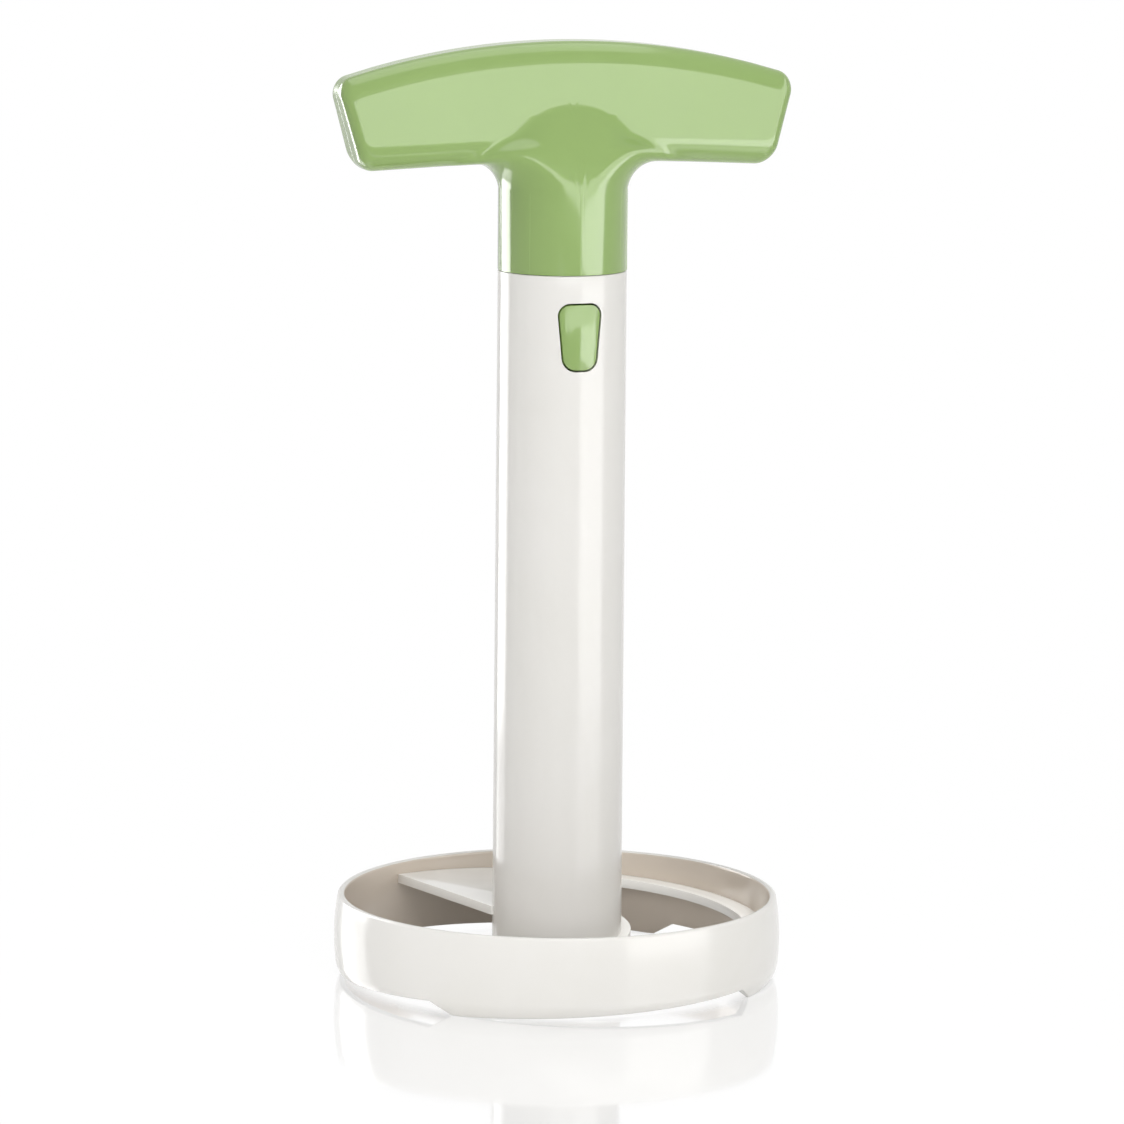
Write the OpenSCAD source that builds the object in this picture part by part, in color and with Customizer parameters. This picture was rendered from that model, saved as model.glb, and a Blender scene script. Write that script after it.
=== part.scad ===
// Pineapple cutter: a toothed ring with a helical blade on a coring tube, and a T-handle that pulls off.
// Millimetres. The origin is on the tube's axis at the height of the tooth tips. The button faces -Y.

/* [Ring] */
// Radius of the ring's inner wall
ring_bore_r = 45.2; // [42:0.1:52]
// Wall of the ring at its rim
ring_wall = 1.4; // [1:0.1:2.5]
// How far the ring's outer wall bulges between rim and edge
ring_belly = 0.9; // [0:0.1:2]
// Height of the rim above the tooth tips
ring_h = 17.8; // [15:0.1:24]
// Height of the bevel that thins the wall to its cutting edge
bevel_h = 4; // [2:0.1:6]
// Thickness of the cutting edge
edge_t = 0.6; // [0.4:0.05:0.9]

/* [Teeth] */
// Number of saw teeth
tooth_n = 4; // [3:1:8]
// Depth of the gaps between the teeth
tooth_h = 2.7; // [1:0.1:3.5]
// Angle at which the first tooth's steep face starts
tooth_phase = 39; // [0:1:90]
// Angle that a steep face takes
tooth_steep = 6; // [3:0.5:12]
// Angle of the flat at a tooth's tip
tooth_tip = 2.5; // [1:0.5:5]

/* [Blade] */
// Rise of the helix in one turn, which sets how thick a slice is
blade_pitch = 13.5; // [11:0.1:17]
// Thickness of the blade
blade_t = 1.9; // [1.2:0.1:3]
// Thickness left at the cutting edge
blade_edge_t = 0.5; // [0.3:0.1:1]
// Drop from the rim to the blade's top at its cutting edge
blade_drop = 5.1; // [4:0.05:7]
// Angle of the trailing corner on the ring
blade_trail = 123; // [100:1:140]
// Angle of the cutting edge
blade_lead = 57; // [30:1:80]
// Angle round the tube from the trailing corner to the end of the straight trailing edge
trail_turn = 52; // [40:1:68]
// Width of the ledge that runs on along the ring's wall
ledge_w = 4.4; // [2:0.1:8]
// Width of the rib that runs on along the tube
rib_w = 2; // [1:0.1:4]
// Height at which ledge and rib run out
ledge_end_h = 3.4; // [3:0.1:6]
// Width of the blade's tip beside the tube
blade_tip_w = 0.5; // [0.3:0.1:2]
// Play in the welded joints of the blade
weld_gap = 0.02; // [0.01:0.01:0.05]

/* [Tube] */
// Radius of the tube's bore
tube_bore_r = 11.6; // [11:0.1:12]
// Outer radius of the tube at its top
tube_top_r = 13.55; // [13.2:0.05:15]
// Outer radius of the tube at its foot
tube_foot_r = 13.8; // [13.4:0.05:15]
// Height of the tube's top above the tooth tips
tube_top_h = 151.1; // [130:0.1:180]
// Height of the tube's coring edge above the tooth tips
tube_foot_h = 1.2; // [0.5:0.1:2]
// Height of the bevel at the coring edge
core_bevel_h = 2.8; // [1:0.1:4]
// Thickness of the coring edge
core_edge_t = 0.6; // [0.4:0.05:1]
// Chamfer round the tube's top
top_chamfer = 0.25; // [0.1:0.05:0.5]
// Width of the two keys inside the tube
key_w = 3; // [2:0.1:5]
// How far the keys stand in from the bore
key_depth = 1.3; // [0.8:0.1:1.6]
// Length of the keys
key_len = 34; // [20:1:38]
// Drop from the tube's top to the keys
key_drop = 2; // [1:0.1:4]

/* [Button] */
// Height of the window in the tube
window_h = 14.4; // [12:0.1:18]
// Width of the window near its top
window_top_w = 10; // [8:0.1:11]
// Width of the window near its foot
window_low_w = 7.4; // [6:0.1:9]
// Radius of the window's upper corners
window_top_round = 2.6; // [1:0.1:3]
// Radius of the window's lower corners
window_low_round = 3; // [1:0.1:3]
// Drop from the tube's top to the window
window_drop = 5.7; // [5:0.1:9]
// Gap round the button
button_gap = 0.4; // [0.2:0.05:0.6]
// Depth of the button's face below the tube's surface
button_sink = 0.05; // [0:0.05:0.4]
// Thickness of the button
button_t = 2.6; // [2:0.1:3]

/* [Latch] */
// Height of the button's foot above the latch's pivot
latch_reach = 17.8; // [15:0.1:22]
// Distance of the pivot from the tube's axis
pivot_y = 8.2; // [8:0.05:8.6]
// Radius of the pivot bead
pivot_r = 1.4; // [1:0.05:1.45]
// Length of the pivot bead
pivot_len = 11; // [9:0.1:11.5]
// Width of the tongue
tongue_w = 7; // [5:0.1:7.4]
// Thickness of the tongue
tongue_t = 2; // [1.5:0.1:2.4]
// Width of the leaf that springs the button out
leaf_w = 6; // [4:0.1:6.5]
// Thickness of the leaf
leaf_t = 0.9; // [0.6:0.1:1.2]
// Drop of the leaf from the tongue to the wall behind it
leaf_drop = 16; // [12:0.5:18]

/* [Plug] */
// Play between the plug and the tube's bore
plug_gap = 0.3; // [0.2:0.05:0.5]
// Length of the plug below the handle
plug_len = 43; // [42:0.5:48]
// Radius of the plug's hollow
hollow_r = 8.4; // [8:0.05:8.6]
// Thickness of the plug's roof
plug_roof = 4; // [2.5:0.1:5]
// Radius of the waist held by the handle
waist_r = 8; // [6:0.1:8.5]
// Length of the waist
waist_len = 9; // [6:0.1:10]
// Width of the square head above the waist
head_w = 15; // [13:0.1:15.5]
// Height of the square head
head_h = 8; // [4:0.1:9]
// Thickness of the cap under the plug
cap_t = 1.8; // [1:0.1:3]
// Length of the cap's collar inside the plug
cap_collar = 3; // [2:0.1:3.5]
// Wall of the cap's collar
cap_wall = 1.6; // [1:0.1:2.5]
// Play between pieces that are pressed or snapped together
snap_gap = 0.06; // [0.03:0.01:0.1]

/* [Handle] */
// Seam between the tube and the handle
seam_gap = 0.12; // [0.05:0.01:0.4]
// Length of the neck up to the bar
neck_len = 22.8; // [19:0.1:26]
// Height of the bar over the neck
bar_h = 25.2; // [22:0.1:32]
// Half length of the bar at its widest
bar_half = 49.6; // [43:0.1:58]
// Drop from the bar's top to its widest
bar_wide_drop = 9.2; // [7:0.1:11]
// Half thickness of the bar in the middle
bar_mid_t = 7.1; // [6.6:0.1:9]
// Half thickness of the bar at its ends
bar_end_t = 5.6; // [5.2:0.1:7]
// Radius of the arched top
bar_top_r = 162; // [120:1:400]
// Slant of the bar's ends
bar_slant = 15.5; // [5:0.5:20]
// How far the underside falls from the neck to the ends
bar_fall = 1.5; // [0:0.1:3]
// Lean of the front and rear faces
bar_lean = 4; // [0:0.5:8]
// Rounding of the top edges
top_round = 4.6; // [3:0.1:6]
// Rounding of the bottom edges
low_round = 6; // [3:0.1:6.5]
// Rounding of the end edges
end_round = 2.4; // [1.5:0.1:4]
// Radius of the upper corners of the ends
end_top_r = 3.6; // [1:0.1:6]
// Radius of the lower corners of the ends
end_low_r = 4; // [1:0.1:6]
// Fillet between the neck and the bar
neck_fillet = 6.2; // [4:0.1:10]
// Radius of the curve that takes the neck back into the bar's face
dome_r = 23.5; // [18:0.1:32]
// Reach of the rounded valley between the neck and the bar's face
valley = 1.2; // [0.5:0.1:2.5]
// Wall left round the pockets in the shells
shell_wall = 3; // [2:0.1:4]
// Radius of the weld pegs between the shells
peg_r = 1.8; // [1.2:0.1:2.5]
// Length of the weld pegs
peg_len = 3; // [2:0.1:4]
// Distance of the weld pegs from the middle
peg_x = 29; // [22:0.5:36]

/* [Hidden] */
$fn = 96;
white = "#e8e6e3";
green = "#9cba72";
over = 1;

// Ring and blade
blade_lead_h = ring_h - blade_drop;
blade_top_h = blade_lead_h + blade_pitch * (blade_trail - blade_lead) / 360;
blade_steps = 5;
ring_out_r = ring_bore_r + ring_wall + ring_belly;

// Window and button
window_top_h = tube_top_h - window_drop;
window_foot_h = window_top_h - window_h;
button_foot_h = window_foot_h + button_gap;
button_r = tube_r((window_top_h + window_foot_h) / 2) - button_sink;
pivot_h = button_foot_h - latch_reach;

// Plug
plug_r = tube_bore_r - plug_gap;
neck_foot_h = tube_top_h + seam_gap;
plug_foot_h = neck_foot_h - plug_len;
hollow_h = plug_len - plug_roof;
key_r = tube_bore_r - key_depth;
key_foot_h = tube_top_h - key_drop - key_len;

// Handle
neck_r = tube_top_r;
neck_flat = 0.35;
neck_shares = [1, 0.5, 0, -0.5, -1];
bar_low_h = neck_foot_h + neck_len;
bar_top_h = bar_low_h + bar_h;
bar_wide_h = bar_top_h - bar_wide_drop;
dome_h = bar_low_h - neck_fillet;
bar_levels = 13;
bar_rows = 18;
corner_steps = 4;
fillet_steps = 7;
peg_h = (bar_low_h + bar_top_h) / 2;

// Straight blend between two values
function mix(a, b, u) = a + (b - a) * u;

// Larger of two values, rounded where they come within reach of each other
function fuse(a, b, reach) = max(a, b) + pow(max(reach - abs(a - b), 0), 2) / (4 * reach);

// Vector of length 1
function unit(v) = v / norm(v);

// Arc that rounds the corner p1 between p0 and p2
function corner(p0, p1, p2, r, n) =
    let (
        a = unit(p0 - p1),
        b = unit(p2 - p1),
        half = acos(a * b) / 2,
        c = p1 + unit(a + b) * r / sin(half),
        s = p1 + a * r / tan(half) - c,
        e = p1 + b * r / tan(half) - c,
        a0 = atan2(s[1], s[0]),
        turn = (atan2(e[1], e[0]) - a0 + 540) % 360 - 180
    )
    [for (i = [0:n]) c + r * [cos(a0 + turn * i / n), sin(a0 + turn * i / n)]];

// Closed outline with each corner rounded by its own radius
function rounded(p, radii, n) =
    let (m = len(p))
    [for (i = [0:m - 1]) each corner(p[(i + m - 1) % m], p[i], p[(i + 1) % m], radii[i], n)];

// Outer radius of the tube at a height
function tube_r(h) = mix(tube_foot_r, tube_top_r, (h - tube_foot_h) / (tube_top_h - tube_foot_h));

// Outer radius of the ring above its bevel
function ring_r(h) =
    let (widest = mix(bevel_h, ring_h, 0.35), u = (h - widest) / (ring_h - widest))
    ring_bore_r + ring_wall + ring_belly * (1 - u * u);

// Tube: coring bevel, slightly conical outside, straight bore
module stem_tube() {
    color(white)
    difference() {
        union() {
            rotate_extrude()
            polygon([
                [tube_bore_r, tube_foot_h],
                [tube_bore_r + core_edge_t, tube_foot_h],
                [tube_r(tube_foot_h + core_bevel_h), tube_foot_h + core_bevel_h],
                [tube_r(tube_top_h - top_chamfer), tube_top_h - top_chamfer],
                [tube_top_r - top_chamfer, tube_top_h],
                [tube_bore_r, tube_top_h]
            ]);
            for (side = [0, 180]) rotate(side) tube_key();
        }
        rotate([90, 0, 0])
        translate([0, 0, tube_bore_r / 2])
        linear_extrude(tube_foot_r)
        window_outline(0);
    }
}

// Key inside the tube, half sunk in its wall
module tube_key() {
    wall = tube_top_r - tube_bore_r;
    translate([key_r, -key_w / 2, key_foot_h])
    cube([key_depth + wall / 2, key_w, key_len]);
}

// Shield-shaped window, drawn in by a gap for the button
module window_outline(gap) {
    top = window_top_w / 2 - gap;
    low = window_low_w / 2 - gap;
    high_h = window_top_h - gap;
    foot_h = window_foot_h + gap;
    polygon(rounded(
        [[-top, high_h], [top, high_h], [low, foot_h], [-low, foot_h]],
        [for (r = [window_top_round, window_top_round, window_low_round, window_low_round]) r - gap],
        6
    ));
}

// Ring: half-round rim, bulging wall, bevelled foot cut into saw teeth
module cutter_ring() {
    rim = ring_wall / 2;
    rim_foot_h = ring_h - rim;
    bevel_r = ring_r(bevel_h) - ring_bore_r - edge_t;
    color(white)
    difference() {
        rotate_extrude($fn = 180)
        polygon(concat(
            [[ring_bore_r, 0]],
            [for (i = [0:5]) [ring_bore_r + edge_t + bevel_r * sin(15 * i), bevel_h * i / 6]],
            [for (i = [0:8]) let (h = mix(bevel_h, rim_foot_h, i / 8)) [ring_r(h), h]],
            [for (a = [30:30:180]) [ring_bore_r + rim + rim * cos(a), rim_foot_h + rim * sin(a)]]
        ));
        for (k = [0:tooth_n - 1]) rotate(tooth_phase + 360 / tooth_n * k) tooth_space();
    }
}

// Space between two tooth tips: a long ramp up from one tip, then a steep face down to the next
module tooth_space() {
    steps = 12;
    dip = 0.02 * tooth_h;
    ramp_start = tooth_steep + tooth_tip;
    ramp_end = 360 / tooth_n;
    line = concat(
        [for (i = [0:steps]) [mix(ramp_start, ramp_end, i / steps), mix(-dip, tooth_h, i / steps)]],
        [[ramp_end + tooth_steep, -dip]]
    );
    inner = ring_bore_r - over;
    outer = ring_out_r + over;
    points = [
        for (s = line)
            for (q = [[inner, -over - dip], [outer, -over - dip], [outer, s[1]], [inner, s[1]]])
                [q[0] * cos(s[0]), q[0] * sin(s[0]), q[1]]
    ];
    last = len(line) - 1;
    faces = concat(
        [[3, 2, 1, 0]],
        [for (i = [0:last - 1]) for (j = [0:3]) each quad(4 * i, 4 * i + 4, (j + 1) % 4, j)],
        [[4 * last, 4 * last + 1, 4 * last + 2, 4 * last + 3]]
    );
    polyhedron(points, faces);
}

// Two triangles between places j and k of two rows of points that start at a and b
function quad(a, b, j, k) = [[a + j, b + j, b + k], [a + j, b + k, a + k]];

// Height of the blade's top at an angle: a helix up to the trailing corner, and level from there
function helix_h(angle) = blade_lead_h + blade_pitch * (min(angle, blade_trail) - blade_lead) / 360;

// Point on a circle about the axis
function polar(r, angle) = r * [cos(angle), sin(angle)];

// Straight trailing edge, from its corner on the ring to its tip beside the tube
blade_tip = blade_trail + trail_turn;
trail_corner = polar(ring_bore_r, blade_trail);
trail_tip = polar(tube_r(blade_top_h) + blade_tip_w, blade_tip);
trail_line = unit(trail_tip - trail_corner);
trail_normal = [trail_line[1], -trail_line[0]];

// Angles of the blade's stations, from the foot of the ledge up to the tip beside the tube
blade_foot = blade_lead - (blade_lead_h - blade_t - ledge_end_h) * 360 / blade_pitch;
ledge_count = ceil((blade_lead - blade_foot) / blade_steps);
plate_count = ceil((blade_trail - blade_lead) / blade_steps);
trail_count = ceil((blade_tip - blade_trail) / blade_steps);
blade_angles = concat(
    [for (i = [0:ledge_count - 1]) mix(blade_foot, blade_lead, i / ledge_count)],
    [for (i = [0:plate_count - 1]) mix(blade_lead, blade_trail, i / plate_count)],
    [for (i = [0:trail_count]) mix(blade_trail, blade_tip, i / trail_count)]
);

// Outer radius of the blade: the ring's wall, then the straight trailing edge
function blade_out_r(angle) =
    let (trail_r = trail_corner * trail_normal / (polar(1, angle) * trail_normal))
    (angle <= blade_trail ? ring_bore_r : trail_r) - weld_gap;

// Four radii across the blade: tube, edge of the rib, edge of the ledge, outer edge
function blade_radii(angle) =
    let (
        inner = (tube_r(helix_h(angle) - blade_t) + weld_gap) / cos(blade_steps / 2),
        outer = blade_out_r(angle),
        third = (outer - inner) / 3
    )
    [inner, inner + min(rib_w, third), outer - min(ledge_w, third), outer];

// Blade: plate between ring and tube, with ledge and rib running on below its cutting edge
module spiral_blade() {
    last = len(blade_angles) - 1;
    points = [
        for (i = [0:last])
            let (angle = blade_angles[i], h = helix_h(angle), radii = blade_radii(angle))
            for (j = [0:3])
                let (sharp = i == ledge_count && (j == 1 || j == 2))
                for (drop = [sharp ? blade_t - blade_edge_t : 0, blade_t])
                    [radii[j] * cos(angle), radii[j] * sin(angle), h - drop]
    ];
    faces = concat(
        [for (i = [0:last - 1]) each blade_strip(8 * i, 8 * i + 8, i < ledge_count)],
        blade_end(0, 0),
        blade_end(0, 2),
        blade_end(8 * ledge_count, 1),
        [for (j = [0:2]) each [for (f = blade_end(8 * last, j)) [f[2], f[1], f[0]]]]
    );
    color(white) polyhedron(points, faces);
}

// Faces of the blade between the stations that start at points a and b
function blade_strip(a, b, open) =
    concat(
        [for (j = open ? [0, 2] : [0, 1, 2]) each concat(
            quad(a, b, 2 * j, 2 * j + 2),
            quad(b, a, 2 * j + 1, 2 * j + 3)
        )],
        [for (j = open ? [0, 2] : [0]) each quad(b, a, 2 * j, 2 * j + 1)],
        [for (j = open ? [1, 3] : [3]) each quad(a, b, 2 * j, 2 * j + 1)]
    );

// End face of strip j of the blade, at the station that starts at point a
function blade_end(a, j) =
    let (p = a + 2 * j)
    [[p, p + 3, p + 1], [p, p + 2, p + 3]];

// How far a rounded edge of radius r draws in at depth share s of a half thickness
function edge_in(s, r, thick) =
    let (t = max(0, 1 - (1 - s) * thick / r))
    r * (1 - sqrt(1 - t * t));

// Half width of the neck at depth share s
function neck_w(s) = max(neck_r * sqrt(1 - s * s), neck_flat);

// Height of the arched top at x, drawn in by e
function bar_top(x, e) = bar_top_h - bar_top_r + sqrt(pow(bar_top_r - e, 2) - x * x);

// Place on the slanted end at height h, drawn in by e
function bar_end(h, e) = bar_half - e / cos(bar_slant) - (bar_wide_h - h) * tan(bar_slant);

// Right half of the bar at depth share s, as a lower and an upper line from the middle to the end
function tee_half(depth) =
    let (
        s = max(depth, 0),
        top_in = edge_in(s, top_round, bar_mid_t),
        end_in = edge_in(s, end_round, bar_end_t),
        low_in = edge_in(s, low_round, bar_mid_t),
        w = neck_w(s),
        low_h = bar_low_h - bar_fall + low_in,
        low_end = [bar_end(low_h, end_in), low_h],
        high_x = bar_end(bar_top(bar_half, top_in), end_in),
        high_end = [high_x, bar_top(high_x, top_in)],
        before = [high_x - end_top_r, bar_top(high_x - end_top_r, top_in)],
        root = [w, bar_low_h + low_in],
        fillet = corner([w, neck_foot_h], root, low_end, neck_fillet + low_in, fillet_steps),
        low_arc = corner(root, low_end, high_end, max(end_low_r - end_in, 0.6), corner_steps),
        high_arc = corner(before, high_end, low_end, max(end_top_r - end_in, 0.6), corner_steps),
        outer = concat(fillet, [for (u = [0.33, 0.67]) mix(fillet[fillet_steps], low_arc[0], u)]),
        top_x = concat([0, w / 2], [for (p = outer) p[0]])
    )
    [
        concat([for (x = [0, w / 2]) [x, fillet[0][1]]], outer, low_arc),
        concat([for (x = top_x) [x, bar_top(x, top_in)]], high_arc)
    ];

// Half thickness of the bar at x and height h
function bar_t(x, h) = mix(bar_mid_t, bar_end_t, pow(x / bar_half, 2)) - (h - peg_h) * tan(bar_lean);

// Half thickness of the handle at x and height h, where the neck's half width is w
function handle_t(x, h, w) =
    let (
        beyond = min(max(abs(x) - w, 0), neck_r),
        risen = max(h - dome_h, 0)
    )
    fuse(bar_t(x, h), sqrt(neck_r * neck_r - beyond * beyond) - risen * risen / (2 * dome_r), valley);

// Half line mirrored to run from the left end to the right end
function both_ways(line) =
    let (n = len(line) - 1)
    concat([for (i = [0:n - 1]) [-line[n - i][0], line[n - i][1]]], line);

// Outline of the bar at depth share s: top, right end, bottom, left end, then the foot of its neck
function tee_outline(s) =
    let (
        half = tee_half(s),
        w = half[0][2][0],
        low = both_ways(half[0]),
        high = both_ways(half[1]),
        last = len(low) - 1
    )
    concat(
        high,
        [for (r = [1:bar_rows - 1]) mix(high[last], low[last], r / bar_rows)],
        [for (c = [last:-1:0]) low[c]],
        [for (r = [bar_rows - 1:-1:1]) mix(high[0], low[0], r / bar_rows)],
        [for (u = neck_shares) [w * u, neck_foot_h]]
    );

// Half of the handle out to +Y, begun behind its parting plane: outlines at rising depths and a bowed face
module handle_half() {
    shares = [for (i = [0:bar_levels]) i == 0 ? -over / neck_r : sin(90 * (i - 1) / (bar_levels - 1))];
    outlines = [for (s = shares) tee_outline(s)];
    whole = len(outlines[0]);
    strips = len(neck_shares) - 1;
    size = whole - strips - 1;
    cols = size / 2 - bar_rows + 1;
    foot = cols + bar_rows - 2;
    neck = foot + (cols + 1 - strips) / 2;
    path = [for (part = [[0:neck], [size:whole - 1], [neck + strips:size - 1]]) for (k = part) k];
    rim = outlines[bar_levels];
    rims = [
        for (i = [0:bar_levels])
            let (w = neck_w(max(shares[i], 0)))
            for (p = outlines[i])
                [p[0], shares[i] * handle_t(p[0], p[1], w), p[1]]
    ];
    face = [
        for (r = [1:bar_rows - 1])
            for (c = [1:cols - 2])
                let (p = mix(rim[c], rim[foot + cols - c], r / bar_rows))
                [p[0], handle_t(p[0], p[1], neck_flat), p[1]]
    ];
    base = whole * bar_levels;
    rows = [
        for (r = [0:bar_rows]) [
            for (c = [0:cols - 1])
                r == 0 ? base + c :
                r == bar_rows ? base + foot + cols - c :
                c == 0 ? base + size - r :
                c == cols - 1 ? base + cols - 1 + r :
                base + whole + (r - 1) * (cols - 2) + c - 1
        ]
    ];
    sides = [
        for (i = [0:bar_levels - 1])
            for (j = [0:len(path) - 1])
                each quad(whole * i, whole * (i + 1), path[j], path[(j + 1) % len(path)])
    ];
    necks = [
        for (m = [0:strips - 1])
            each concat(quad(base + size, base + neck, m, m + 1), quad(neck, size, m, m + 1))
    ];
    front = [
        for (r = [0:bar_rows - 1])
            for (c = [0:cols - 2])
                each [
                    [rows[r][c], rows[r + 1][c], rows[r + 1][c + 1]],
                    [rows[r][c], rows[r + 1][c + 1], rows[r][c + 1]]
                ]
    ];
    parting = concat(
        [
            for (c = [1:cols - 3])
                let (k = foot + cols - c)
                each [[c, c + 1, k - 1], [c, k - 1, k]]
        ],
        [for (k = [cols - 2:cols - 2 + bar_rows]) [foot + 2, k, k + 1]],
        [for (k = [foot + cols:foot + cols + bar_rows]) [foot + cols - 1, k % size, (k + 1) % size]]
    );
    polyhedron(concat(rims, face), concat(sides, necks, front, parting));
}

// Waist and square head of the plug, grown by a gap for their socket
module plug_head(gap) {
    translate([0, 0, neck_foot_h - gap])
    cylinder(r = waist_r + gap, h = waist_len + 2 * gap);
    translate([-head_w / 2 - gap, -head_w / 2 - gap, neck_foot_h + waist_len - gap])
    cube([head_w + 2 * gap, head_w + 2 * gap, head_h + 2 * gap]);
}

// Pockets that lighten the handle on each side of its neck
module handle_pockets() {
    inside = head_w / 2 + 2 * shell_wall;
    outside = bar_end(bar_low_h, end_round) - shell_wall;
    low_h = bar_low_h + shell_wall;
    deep = bar_t(outside, bar_top_h) - shell_wall;
    for (side = [0, 1])
        mirror([side, 0, 0])
        rotate([90, 0, 0])
        linear_extrude(2 * deep, center = true)
        intersection() {
            translate([0, bar_top_h - bar_top_r])
            circle(r = bar_top_r - shell_wall - top_round / 2, $fn = 360);
            translate([inside, low_h]) square([outside - inside, bar_h]);
        }
}

// Boss for a weld peg, from the parting plane into the wall
module peg_boss(side) {
    deep = bar_t(peg_x, peg_h) - shell_wall / 2;
    translate([side * peg_x, 0, peg_h])
    rotate([-90, 0, 0])
    cylinder(r = 2 * peg_r, h = deep);
}

// Peg on the front shell, or its socket with a gap
module peg(side, gap) {
    translate([side * peg_x, -over, peg_h])
    rotate([-90, 0, 0])
    cylinder(r = peg_r + gap, h = peg_len + over + gap);
}

// Shell of the handle with its pockets, bosses and half of the plug's socket, on the +Y side
module handle_shell() {
    reach = bar_half + over;
    difference() {
        handle_half();
        translate([-reach, -reach, neck_foot_h - over])
        cube([2 * reach, reach, neck_len + bar_h + 2 * over]);
        difference() {
            handle_pockets();
            for (side = [-1, 1]) peg_boss(side);
        }
        plug_head(snap_gap);
    }
}

// Front shell of the handle, with the weld pegs
module handle_front_shell() {
    color(green)
    union() {
        mirror([0, 1, 0]) handle_shell();
        for (side = [-1, 1]) peg(side, 0);
    }
}

// Rear shell of the handle, with the sockets for the pegs
module handle_rear_shell() {
    color(green)
    difference() {
        handle_shell();
        for (side = [-1, 1]) peg(side, snap_gap);
    }
}

// Plug: keyed spigot in the tube, hollow and slotted for the latch, with a head held by the shells
module handle_plug() {
    color(green)
    difference() {
        union() {
            translate([0, 0, plug_foot_h]) cylinder(r = plug_r, h = plug_len);
            plug_head(0);
        }
        translate([0, 0, plug_foot_h - over]) cylinder(r = hollow_r, h = hollow_h + over);
        for (side = [0, 180]) rotate(side) keyway();
        latch_slot();
    }
}

// Groove in the plug that slides over a key
module keyway() {
    translate([key_r - plug_gap, -key_w / 2 - plug_gap, plug_foot_h - over])
    cube([plug_r, key_w + 2 * plug_gap, key_foot_h + key_len - plug_foot_h + over + plug_gap]);
}

// Slot in the plug's front for the button and the tongue, and the pocket of the pivot bead
module latch_slot() {
    button_w = window_top_w / 2;
    tongue = tongue_w / 2 + button_gap;
    low_h = button_foot_h - 2 * button_gap;
    high_h = window_top_h + 2 * button_gap;
    bead = pivot_len / 2 + snap_gap;
    translate([-button_w, -plug_r - over, low_h]) cube([2 * button_w, plug_r + over, high_h - low_h]);
    translate([-tongue, -plug_r - over, pivot_h]) cube([2 * tongue, plug_r + over, low_h - pivot_h + over]);
    translate([-bead, -pivot_y, pivot_h]) rotate([0, 90, 0]) cylinder(r = pivot_r + snap_gap, h = 2 * bead);
    translate([-bead, -pivot_y - pivot_r - snap_gap, plug_foot_h - over])
    cube([2 * bead, 2 * (pivot_r + snap_gap), pivot_h - plug_foot_h + over]);
}

// Cap under the plug, with a collar in its hollow and a tab that holds the pivot bead up
module plug_cap() {
    tab_w = pivot_len - 4 * snap_gap;
    tab_t = 2 * pivot_r - 4 * snap_gap;
    tab_top_h = pivot_h - pivot_r - snap_gap;
    color(green)
    union() {
        translate([0, 0, plug_foot_h - cap_t]) cylinder(r = key_r - plug_gap, h = cap_t);
        translate([0, 0, plug_foot_h - cap_t / 2])
        difference() {
            cylinder(r = hollow_r - snap_gap, h = cap_collar + cap_t / 2);
            translate([0, 0, cap_t / 2]) cylinder(r = hollow_r - cap_wall, h = cap_collar + over);
        }
        translate([-tab_w / 2, -pivot_y - tab_t / 2, plug_foot_h - cap_t / 2])
        cube([tab_w, tab_t, tab_top_h - plug_foot_h + cap_t / 2]);
    }
}

// Latch: button in the window, tongue down to its pivot bead, leaf that springs it out
module release_latch() {
    button_in_r = button_r - button_t;
    root_foot_h = button_foot_h + button_t / 2;
    root_top_h = window_top_h - button_gap - button_t / 2;
    tongue_in = -pivot_y + tongue_t / 2;
    tongue_out = -pivot_y - tongue_t / 2;
    color(green)
    union() {
        intersection() {
            rotate([90, 0, 0]) linear_extrude(button_r + over) window_outline(button_gap);
            translate([0, 0, window_foot_h])
            difference() {
                cylinder(r = button_r, h = window_h);
                translate([0, 0, -over]) cylinder(r = button_in_r, h = window_h + 2 * over);
            }
        }
        along_x(tongue_w) {
            translate([tongue_out, pivot_h]) square([tongue_t, root_top_h - pivot_h]);
            translate([-button_in_r - button_t / 4, root_foot_h])
            square([button_in_r + button_t / 4 + tongue_out + tongue_t / 2, root_top_h - root_foot_h]);
        }
        along_x(pivot_len) translate([-pivot_y, pivot_h]) circle(r = pivot_r);
        along_x(leaf_w) polygon(leaf_outline(tongue_in - leaf_t, root_top_h - leaf_t));
    }
}

// Outline in the Y-Z plane given a width along X
module along_x(width) {
    rotate([90, 0, 90]) linear_extrude(width, center = true) children();
}

// Bowed strip from the tongue back to the wall of the hollow
function leaf_outline(y0, h0) =
    let (
        n = 8,
        y1 = sqrt(hollow_r * hollow_r - leaf_w * leaf_w / 4) - leaf_t / 2,
        line = [for (i = [0:n]) [mix(y0, y1, sin(90 * i / n)), h0 - leaf_drop * i / n]]
    )
    concat(
        [for (p = line) p + [leaf_t / 4, leaf_t / 4]],
        [for (i = [n:-1:0]) line[i] - [leaf_t / 2, leaf_t / 2]]
    );

stem_tube();
cutter_ring();
spiral_blade();
handle_front_shell();
handle_rear_shell();
handle_plug();
plug_cap();
release_latch();
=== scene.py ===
"""Looks of a pineapple cutter.

A white coring tube stands on a toothed ring with a helical blade. A leaf-green T-handle with a push button
tops it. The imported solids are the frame, and each piece is modelled here again, finer, in its own place.
Sizes are in millimetres and meshes in metres. +Z is up, the bar lies along X and the button faces -Y.
"""

import logging
import math
from collections.abc import Callable, Iterator, Sequence
from contextlib import contextmanager
from dataclasses import dataclass, field
from enum import Enum

import bmesh
import bpy
from mathutils import Matrix, Vector


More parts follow.
